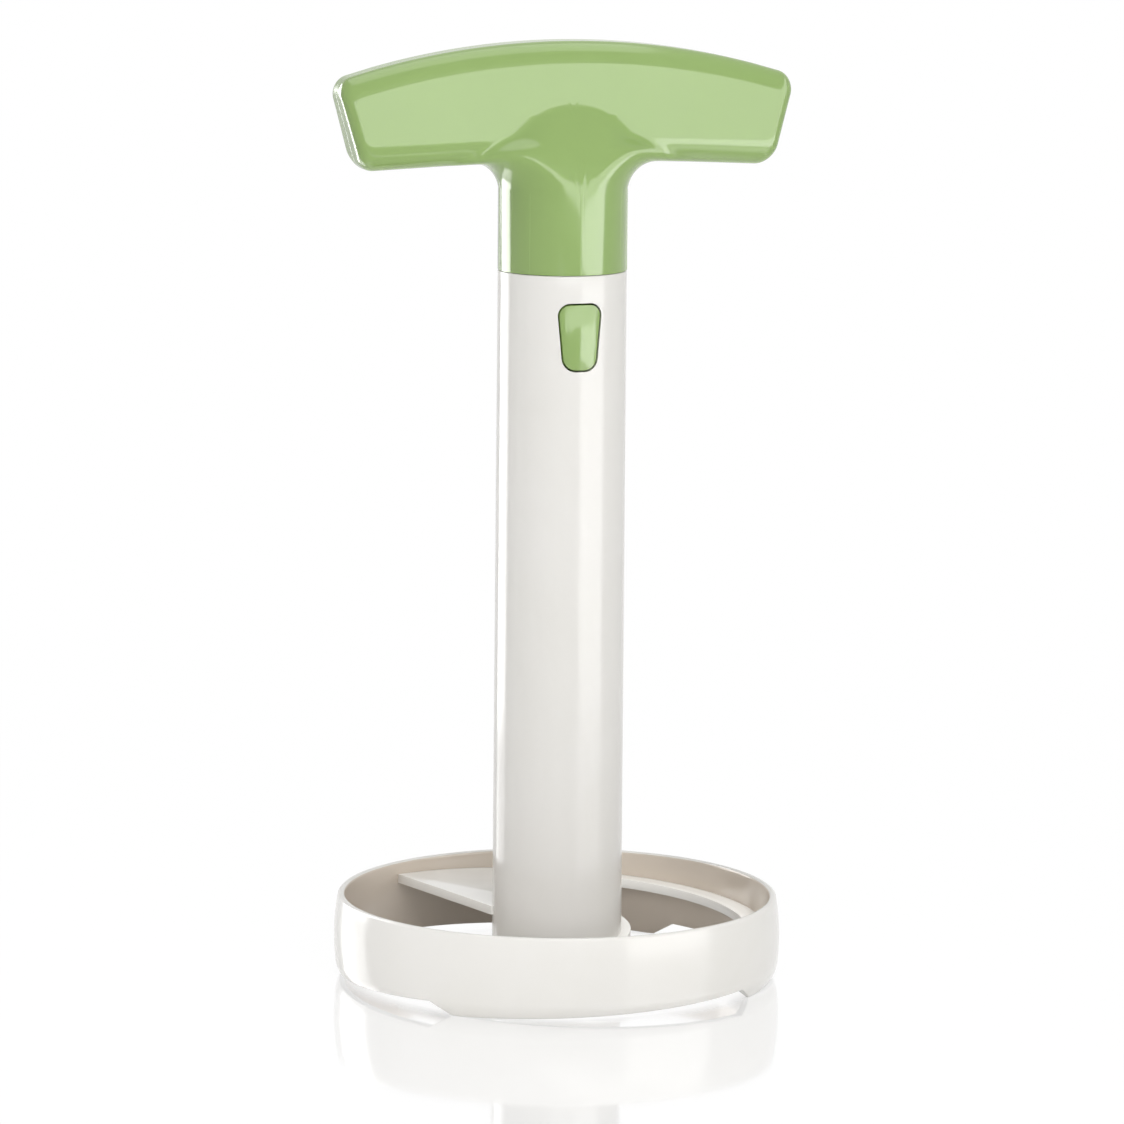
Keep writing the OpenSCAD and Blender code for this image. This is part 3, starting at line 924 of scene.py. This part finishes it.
    def sharpen(self, vert: bmesh.types.BMVert) -> None:
        """Lowers a vertex on top of the plate, just behind the cutting edge, onto the ground slope.

        Args:
            vert: Any vertex of the blade in edit mode; one elsewhere stays.
        """
        at = vert.co / MM
        degrees = math.degrees(math.atan2(at.y, at.x))
        share = (degrees - self.blade_lead) / self.grind_turn
        if not -0.01 < share < 1 or at.z < self.helix_h(degrees) - self.blade_t / 2:
            return
        radii = self.blade_radii(degrees)
        slack = 0.01
        if radii[self.rib_rows] - slack < math.hypot(at.x, at.y) < radii[-1 - self.ledge_rows] + slack:
            vert.co.z -= (self.blade_t - self.blade_edge_t) * (1 - max(share, 0.0)) * MM


@dataclass(frozen=True)
class Zone:
    """A zone of the handle's skin, alike on both sides of the middle, that is smoothed."""

    inner: float
    outer: float
    front: float
    low: float
    high: float
    passes: int


@dataclass
class Handle:
    """T-handle: two shells that close over the head of a keyed plug, and the cap under the plug."""

    neck_r: float = 13.55
    neck_foot_h: float = 151.22
    neck_len: float = 22.8
    neck_flat: float = 0.35
    neck_fillet: float = 6.2
    dome_rise: float = 17.4
    dome_drop: float = 6.4
    dome_power: float = 3.2
    facet_start: float = 2.8
    facet_slope: float = 23.4
    facet_edge: float = 0.8
    valley: float = 1.2
    side_valley: float = 7.0
    side_fade: Flat = (1.3, 2.5)
    bar_h: float = 25.2
    bar_half: float = 49.57
    bar_wide_drop: float = 9.2
    bar_mid_t: float = 7.1
    bar_end_t: float = 5.6
    bar_top_r: float = 162.0
    bar_slant: float = 15.5
    bar_fall: float = 1.5
    bar_lean: float = 4.0
    top_round: float = 4.6
    low_round: float = 6.0
    end_round: float = 2.4
    end_top_r: float = 3.6
    end_low_r: float = 4.0
    end_least_r: float = 0.6
    seam_edge: float = 0.12
    waist_r: float = 8.0
    waist_len: float = 9.0
    head_w: float = 15.0
    head_h: float = 8.0
    levels: int = 48
    rows: int = 60
    leaf_w: float = 6.8
    leaf_low_h: float = 123.5
    leaf_top_h: float = 134.0
    leaf_near: float = 5.0
    leaf_far: float = 9.7
    small_round: float = 0.25
    small_sharp: float = 30.0
    neck_slack: float = 0.6
    zones: tuple[Zone, ...] = (Zone(-1.0, 1.2, 10.84, 0.5, 4.5, 4), Zone(6.0, 30.0, 3.0, 1.0, 16.0, 14))
    corner_steps: int = 12
    fillet_steps: int = 24
    under_steps: int = 28

    @property
    def bar_low_h(self) -> float:
        """Height of the bar's underside at the neck."""
        return self.neck_foot_h + self.neck_len

    @property
    def bar_top_h(self) -> float:
        """Height of the top of the arch."""
        return self.bar_low_h + self.bar_h

    @property
    def dome_h(self) -> float:
        """Height at which the neck starts to widen into the bar and to curve back."""
        return self.bar_low_h - self.neck_fillet

    def edge_in(self, share: float, radius: float, thick: float) -> float:
        """How far a rounded edge draws in at a share of a half thickness."""
        t = max(0.0, 1 - (1 - share) * thick / radius)
        return radius * (1 - math.sqrt(1 - t * t))

    def bar_top(self, x: float, drawn: float) -> float:
        """Height of the arched top at x, drawn in."""
        return self.bar_top_h - self.bar_top_r + math.sqrt((self.bar_top_r - drawn) ** 2 - x * x)

    def bar_end(self, height: float, drawn: float) -> float:
        """Place of the slanted end, drawn in.

        Args:
            height: Height on the end.
            drawn: How far the rounded edge draws it in.

        Returns:
            The place along the bar.
        """
        slant = math.radians(self.bar_slant)
        wide_h = self.bar_top_h - self.bar_wide_drop
        return self.bar_half - drawn / math.cos(slant) - (wide_h - height) * math.tan(slant)

    def neck_w(self, share: float) -> float:
        """Half width of the neck at a share of the depth."""
        return max(self.neck_r * math.sqrt(max(0.0, 1 - share * share)), self.neck_flat)

    def half_depth(self, x: float, height: float, share: float) -> float:
        """Half thickness of the handle: a leaning slab, and the neck whose front is cut back into its face.

        Args:
            x: Place along the bar.
            height: Height of the place.
            share: Share of the half thickness that is asked for.

        Returns:
            The whole half thickness there, in millimetres.
        """
        middle_h = (self.bar_low_h + self.bar_top_h) / 2
        bow = mix(self.bar_mid_t, self.bar_end_t, (x / self.bar_half) ** 2)
        slab = bow - (height - middle_h) * math.tan(math.radians(self.bar_lean))
        risen = max(height - self.dome_h, 0.0)
        fillet = self.neck_fillet
        beyond = max(abs(x) - self.neck_w(share), 0.0)
        dome = math.sqrt(self.neck_r**2 - min(beyond, self.neck_r) ** 2)
        dome -= self.dome_drop * (risen / self.dome_rise) ** self.dome_power
        facet = self.neck_r - (risen - self.facet_start) * math.tan(math.radians(self.facet_slope))
        front = -fuse(-dome, -facet / max(share, 0.01), self.facet_edge)
        wide = ramp(risen, 0, fillet) * (1 - ramp(risen, *(fillet * u for u in self.side_fade)))
        return fuse(slab, front, mix(self.valley, self.side_valley, wide))

    def tee_half(self, share: float) -> tuple[list[Flat], list[Flat]]:
        """Draws the right half of the bar at a share of the depth.

        Args:
            share: Share of the half thickness.

        Returns:
            The lower and the upper line, from the middle out.
        """
        top_in = self.edge_in(share, self.top_round, self.bar_mid_t)
        end_in = self.edge_in(share, self.end_round, self.bar_end_t)
        low_in = self.edge_in(share, self.low_round, self.bar_mid_t)
        w = self.neck_w(share)
        low_h = self.bar_low_h - self.bar_fall + low_in
        low_end = (self.bar_end(low_h, end_in), low_h)
        high_x = self.bar_end(self.bar_top(self.bar_half, top_in), end_in)
        high_end = (high_x, self.bar_top(high_x, top_in))
        before = (high_x - self.end_top_r, self.bar_top(high_x - self.end_top_r, top_in))
        root = (w, self.bar_low_h + low_in)
        foot = (w, self.neck_foot_h)
        fillet = corner(foot, root, low_end, self.neck_fillet + low_in, self.fillet_steps, share**4)
        low_r, high_r = (max(r - end_in, self.end_least_r) for r in (self.end_low_r, self.end_top_r))
        low_arc = corner(root, low_end, high_end, low_r, self.corner_steps)
        high_arc = corner(before, high_end, low_end, high_r, self.corner_steps)
        start, end = fillet[-1], low_arc[0]
        under = [(mix(start[0], end[0], u), mix(start[1], end[1], u)) for u in steps(0, 1, self.under_steps)]
        outer = fillet + under[1:-1]
        middle = [w * u for u in (0, 0.25, 0.5, 0.75)]
        low = [(x, fillet[0][1]) for x in middle] + outer + low_arc
        high = [(x, self.bar_top(x, top_in)) for x in middle + [p[0] for p in outer]] + high_arc
        return low, high

    def lines(self, share: float) -> tuple[list[Flat], list[Flat]]:
        """Upper and lower line of the bar from its left end to its right end."""
        low, high = self.tee_half(share)
        return tuple([(-x, h) for x, h in line[:0:-1]] + line for line in (high, low))

    def outline(self, share: float) -> list[Flat]:
        """Draws the whole bar at a share of the depth.

        Args:
            share: Share of the half thickness.

        Returns:
            The closed outline: top, right end, bottom, left end.
        """
        high, low = self.lines(share)
        inner = steps(0, 1, self.rows)[1:-1]
        right = [(mix(high[-1][0], low[-1][0], u), mix(high[-1][1], low[-1][1], u)) for u in inner]
        left = [(mix(low[0][0], high[0][0], u), mix(low[0][1], high[0][1], u)) for u in inner]
        return high + right + low[::-1] + left

    def build_shell(self, side: Side) -> bpy.types.Object:
        """Makes one shell: rounded bar, neck that curves back into its face, socket for the plug's head.

        Args:
            side: Whether it is the front or the rear shell.

        Returns:
            The closed shell.
        """
        name = f"handle_shell_{side.name.lower()}"
        rings = []
        for i in range(self.levels + 1):
            share = math.sin(math.pi / 2 * i / self.levels)
            rings.append(
                [(x, side.value * share * self.half_depth(x, h, share), h) for x, h in self.outline(share)]
            )
        walls = loft(name, rings, False)
        high, low = self.lines(1)

        def at(column: int, row: int) -> Point:
            """Place of a grid point on the face."""
            x, h = (mix(high[column][i], low[column][i], row / self.rows) for i in (0, 1))
            return x, side.value * self.half_depth(x, h, 1.0), h

        shell = weld([walls, sheet(f"{name}_face", len(high), self.rows + 1, at)])
        with editing(shell):
            limit = (self.dome_h + self.neck_slack) * MM
            pick(shell, Part.FACES, lambda face: all(vert.co.z < limit for vert in face.verts))
            bpy.ops.mesh.extrude_region_move()
            bpy.ops.transform.resize(value=(1, 1, 0), center_override=(0, 0, self.neck_foot_h * MM))
            close_ends(shell)
            for zone in self.zones:
                pick(
                    shell,
                    Part.VERTS,
                    lambda vert: zone.inner * MM < abs(vert.co.x) < zone.outer * MM
                    and abs(vert.co.y) > zone.front * MM
                    and zone.low * MM < vert.co.z - self.dome_h * MM < zone.high * MM,
                )
                bpy.ops.mesh.vertices_smooth(factor=0.5, repeat=zone.passes)
        ease(shell, self.seam_edge, SHARP)
        carve(shell, self.build_socket(), Cut.REMOVE)
        return shell

    def build_socket(self) -> bpy.types.Object:
        """Makes the tool for the socket: the plug's round waist and square head, a hair larger.

        Returns:
            The closed tool.
        """
        play = 0.06
        waist = self.waist_r + play
        rings = []
        count = 64
        top = self.neck_foot_h + self.waist_len
        for h in (self.neck_foot_h - 1, top - play):
            rings.append([(*polar(waist, 360 * i / count), h) for i in range(count)])
        half = self.head_w / 2 + play
        for h in (top - play, top + self.head_h + play):
            ring = []
            for i in range(count):
                x, y = polar(1, 360 * i / count)
                reach = half / max(abs(x), abs(y))
                ring.append((x * reach, y * reach, h))
            rings.append(ring)
        return loft("socket_tool", rings, True)

    def build_plug(self) -> bpy.types.Object:
        """Makes the plug, with a pocket in its hollow wall that the latch's leaf swings into.

        Returns:
            The closed plug.
        """
        plug = copy_node("handle_plug", "keyed_plug")
        half = self.leaf_w / 2
        outline = [(-half, self.leaf_low_h), (half, self.leaf_low_h)]
        outline += [(half, self.leaf_top_h), (-half, self.leaf_top_h)]
        carve(plug, prism("leaf_room_tool", outline, self.leaf_near, self.leaf_far), Cut.REMOVE)
        return plug


def heading(azimuth: float) -> Vector:
    """Level direction at an azimuth in degrees, counted from the front round to the right."""
    turn = math.radians(azimuth)
    return Vector((math.sin(turn), -math.cos(turn), 0))


@dataclass
class Lamp:
    """A softbox that faces the cutter's axis, by the direction that it stands in."""

    name: str
    azimuth: float
    distance: float
    low: float
    high: float
    width: float
    radiance: float
    mirrored: bool = True
    matt: bool = True

    def build(self) -> bpy.types.Object:
        """Adds the softbox, unseen by the camera.

        Returns:
            The lamp.
        """
        data = bpy.data.lights.new(self.name, "AREA")
        data.shape = "RECTANGLE"
        data.size = self.width * MM
        data.size_y = (self.high - self.low) * MM
        data.energy = math.pi * data.size * data.size_y * self.radiance
        lamp = bpy.data.objects.new(self.name, data)
        bpy.context.scene.collection.objects.link(lamp)
        out = heading(self.azimuth)
        lamp.location = (out * self.distance + Vector((0, 0, (self.low + self.high) / 2))) * MM
        lamp.rotation_euler = (-out).to_track_quat("-Z", "Y").to_euler()
        lamp.visible_camera = False
        lamp.visible_glossy = self.mirrored
        lamp.visible_diffuse = self.matt
        return lamp


@dataclass
class Panel:
    """A flat softbox of any outline, given by the directions in which the handle sees its corners."""

    name: str
    azimuth: float
    distance: float
    eye_h: float
    radiance: float
    corners: tuple[Flat, ...]

    def build(self) -> bpy.types.Object:
        """Adds the softbox, unseen by the camera and ending at the floor.

        Returns:
            The glowing panel.
        """
        out, along = heading(self.azimuth), heading(self.azimuth + 90)
        points = []
        for azimuth, elevation in self.corners:
            off = math.radians(azimuth - self.azimuth)
            rise = self.distance * math.tan(math.radians(elevation)) / math.cos(off)
            height = Vector((0, 0, max(self.eye_h + rise, 1.0)))
            points.append(tuple(out * self.distance + along * self.distance * math.tan(off) + height))
        panel = loop(self.name, points)
        with editing(panel):
            bpy.ops.mesh.edge_face_add()
        made = bpy.data.materials.new(f"{self.name}_cloth")
        tree = empty_tree(made)
        glow = add_node(tree, "ShaderNodeEmission", {"Color": (1, 1, 1, 1), "Strength": self.radiance})
        add_node(tree, "ShaderNodeOutputMaterial", {"Surface": glow.outputs["Emission"]})
        panel.data.materials.append(made)
        panel.visible_camera = False
        panel.visible_diffuse = False
        return panel


@dataclass
class Studio:
    """Camera, pale floor, softboxes and surroundings."""

    camera_azimuth: float = -17.0
    camera_elevation: float = 9.027
    camera_distance: float = 1311.85
    camera_roll: float = 0.492
    aim_right: float = 0.475
    aim_h: float = 88.92
    focal_px: float = 6206.0
    image_px: float = 1124.0
    sensor_w: float = 36.0
    floor_size: float = 8000.0
    fade_near: float = 120.0
    fade_far: float = 500.0
    floor_roughness: float = 0.07
    overhead_size: float = 900.0
    overhead_h: float = 1100.0
    overhead_back: float = 50.0
    overhead_radiance: float = 1.3
    surround: float = 0.4
    floor_mirror: float = 0.46
    floor_albedo: float = 0.12
    floor_glow: float = 0.92
    floor_bounce: float = 0.92
    matt_r: float = 42.0
    matt_edge: float = 6.0
    lamps: list[Lamp] = field(
        default_factory=lambda: [
            Lamp("strip_left", -140.3, 300, low=0, high=300, width=161, radiance=7.0, matt=False),
            Lamp("key_front", 5.0, 600, low=60, high=460, width=400, radiance=5.2, mirrored=False),
        ]
    )
    white_fills: list[Lamp] = field(
        default_factory=lambda: [
            Lamp("fill_white_left", -70.0, 450, low=0, high=300, width=600, radiance=1.25, mirrored=False),
            Lamp("fill_white_right", 75.0, 450, low=0, high=300, width=600, radiance=0.85, mirrored=False),
        ]
    )
    ring_fills: list[Lamp] = field(
        default_factory=lambda: [
            Lamp("fill_ring_left", -75.0, 450, low=0, high=300, width=600, radiance=0.6, mirrored=False),
            Lamp("fill_ring_right", 70.0, 450, low=0, high=300, width=600, radiance=0.55, mirrored=False),
        ]
    )
    blade_fills: list[Lamp] = field(
        default_factory=lambda: [
            Lamp("fill_blade", 5.0, 400, low=300, high=700, width=600, radiance=5.0, mirrored=False),
        ]
    )
    panels: list[Panel] = field(
        default_factory=lambda: [
            Panel(
                "softbox_face",
                45.0,
                300,
                eye_h=174,
                radiance=3.6,
                corners=(
                    (62, -4), (87, 26), (109, 33), (83, 33), (69, 26), (43, 16), (17, 11), (-25, 8), (-25, -4)
                ),
            ),
            Panel(
                "softbox_neck",
                45.0,
                300,
                eye_h=174,
                radiance=5.7,
                corners=((17, -40), (62, -40), (62, -4), (17, -4)),
            ),
        ]
    )

    def build_camera(self) -> None:
        """Puts the camera where the photograph was taken from."""
        tilt = math.radians(self.camera_elevation)
        roll = math.radians(self.camera_roll)
        level = heading(self.camera_azimuth + 90)
        back = heading(self.camera_azimuth) * math.cos(tilt) + Vector((0, 0, math.sin(tilt)))
        upright = back.cross(level)
        right = level * math.cos(roll) + upright * math.sin(roll)
        up = upright * math.cos(roll) - level * math.sin(roll)
        eye = (level * self.aim_right + Vector((0, 0, self.aim_h)) + back * self.camera_distance) * MM
        data = bpy.data.cameras.new("photo_camera")
        data.sensor_width = self.sensor_w
        data.lens = self.focal_px / self.image_px * self.sensor_w
        data.clip_end = 100
        camera = bpy.data.objects.new("photo_camera", data)
        rows = [[right[i], up[i], back[i], eye[i]] for i in range(3)]
        camera.matrix_world = Matrix(rows + [[0, 0, 0, 1]])
        bpy.context.scene.collection.objects.link(camera)
        bpy.context.scene.camera = camera

    def build_floor(self) -> None:
        """Lays the pale floor: matt inside the ring, faintly mirroring round it, and white far out."""
        deselect()
        bpy.ops.mesh.primitive_plane_add(size=self.floor_size * MM)
        floor = bpy.context.object
        floor.name = "studio_floor"
        made = bpy.data.materials.new("white_acrylic_floor")
        tree = empty_tree(made)
        place = add_node(tree, "ShaderNodeTexCoord").outputs["Object"]
        far = add_node(tree, "ShaderNodeVectorMath", {0: place}, operation="LENGTH")
        fade = add_node(
            tree,
            "ShaderNodeMapRange",
            {"Value": far.outputs["Value"], "From Min": self.fade_near * MM, "From Max": self.fade_far * MM},
            interpolation_type="SMOOTHSTEP",
        )
        cloth = add_node(tree, "ShaderNodeBsdfDiffuse", {"Color": (self.floor_albedo,) * 3 + (1.0,)})
        glow = add_node(tree, "ShaderNodeEmission", {"Color": (1, 1, 1, 1), "Strength": self.floor_glow})
        lit = add_node(tree, "ShaderNodeAddShader", {0: cloth.outputs["BSDF"], 1: glow.outputs["Emission"]})
        mirror = add_node(
            tree, "ShaderNodeBsdfGlossy", {"Color": (1, 1, 1, 1), "Roughness": self.floor_roughness}
        )
        polish = add_node(
            tree,
            "ShaderNodeMapRange",
            {
                "Value": far.outputs["Value"],
                "From Min": self.matt_r * MM,
                "From Max": (self.matt_r + self.matt_edge) * MM,
                "To Max": self.floor_mirror,
            },
        )
        sheen = add_node(
            tree,
            "ShaderNodeMixShader",
            {0: polish.outputs["Result"], 1: lit.outputs["Shader"], 2: mirror.outputs["BSDF"]},
        )
        white = add_node(tree, "ShaderNodeEmission", {"Color": (1, 1, 1, 1), "Strength": 1.0})
        shown = add_node(
            tree,
            "ShaderNodeMixShader",
            {0: fade.outputs["Result"], 1: sheen.outputs["Shader"], 2: white.outputs["Emission"]},
        )
        plain = add_node(tree, "ShaderNodeBsdfDiffuse", {"Color": (self.floor_bounce,) * 3 + (1.0,)})
        blend = add_node(
            tree,
            "ShaderNodeMixShader",
            {0: seen_directly(tree), 1: plain.outputs["BSDF"], 2: shown.outputs["Shader"]},
        )
        add_node(tree, "ShaderNodeOutputMaterial", {"Surface": blend.outputs["Shader"]})
        floor.data.materials.append(made)

    def build_surround(self) -> None:
        """Gives the camera and its reflections a white background, and the cutter plain soft light."""
        world = bpy.data.worlds.new("white_room")
        bpy.context.scene.world = world
        tree = empty_tree(world)
        strength = add_node(
            tree, "ShaderNodeMapRange", {"Value": seen_directly(tree), "To Min": self.surround, "To Max": 1.0}
        )
        back = add_node(
            tree, "ShaderNodeBackground", {"Color": (1, 1, 1, 1), "Strength": strength.outputs["Result"]}
        )
        add_node(tree, "ShaderNodeOutputWorld", {"Surface": back.outputs["Background"]})

    def build(self) -> None:
        """Sets up the whole studio."""
        self.build_camera()
        self.build_floor()
        self.build_surround()
        for lamp in self.lamps + self.panels:
            lamp.build()
        overhead = bpy.data.lights.new("softbox_overhead", "AREA")
        overhead.shape = "SQUARE"
        overhead.size = self.overhead_size * MM
        overhead.energy = math.pi * overhead.size**2 * self.overhead_radiance
        lamp = bpy.data.objects.new("softbox_overhead", overhead)
        lamp.location = (0, self.overhead_back * MM, self.overhead_h * MM)
        lamp.visible_camera = False
        bpy.context.scene.collection.objects.link(lamp)
        bpy.context.scene.view_settings.view_transform = "Standard"

    def fill(self, lamps: Sequence[Lamp], pieces: Sequence[bpy.types.Object]) -> None:
        """Adds lamps that reach only some white pieces, which pass light on inside the plastic.

        Args:
            lamps: The lamps.
            pieces: The pieces that they light.
        """
        reached = bpy.data.collections.new(f"lit_by_{lamps[0].name}")
        for piece in pieces:
            reached.objects.link(piece)
        for lamp in lamps:
            lamp.build().light_linking.receiver_collection = reached


def main() -> None:
    """Builds the studio and every piece."""
    logging.basicConfig(level=logging.INFO, format="%(name)s: %(message)s")
    studio = Studio()
    studio.build()
    white = WHITE_ABS.material()
    green = GREEN_ABS.material()
    stem = Stem()
    tube = settle(stem.build_tube(), "stem", "stem_tube", white)
    ring = settle(stem.build_ring(), "stem", "cutter_ring", white, stem.ring_smooth)
    blade = settle(stem.build_blade(), "stem", "spiral_blade", white)
    studio.fill(studio.white_fills, [tube, ring, blade])
    studio.fill(studio.ring_fills, [ring])
    studio.fill(studio.blade_fills, [blade])
    handle = Handle()
    settle(handle.build_shell(Side.FRONT), "handle", "handle_front_shell", green)
    settle(handle.build_shell(Side.REAR), "handle", "handle_rear_shell", green)
    for piece, node, body in (
        (handle.build_plug(), "handle_plug", "handle"),
        (copy_node("plug_cap", "plug_end_cap"), "plug_cap", "handle"),
        (copy_node("release_latch", "button_latch"), "release_latch", "latch"),
    ):
        ease(piece, handle.small_round, handle.small_sharp)
        settle(piece, body, node, green)


if __name__ == "__main__":
    main()
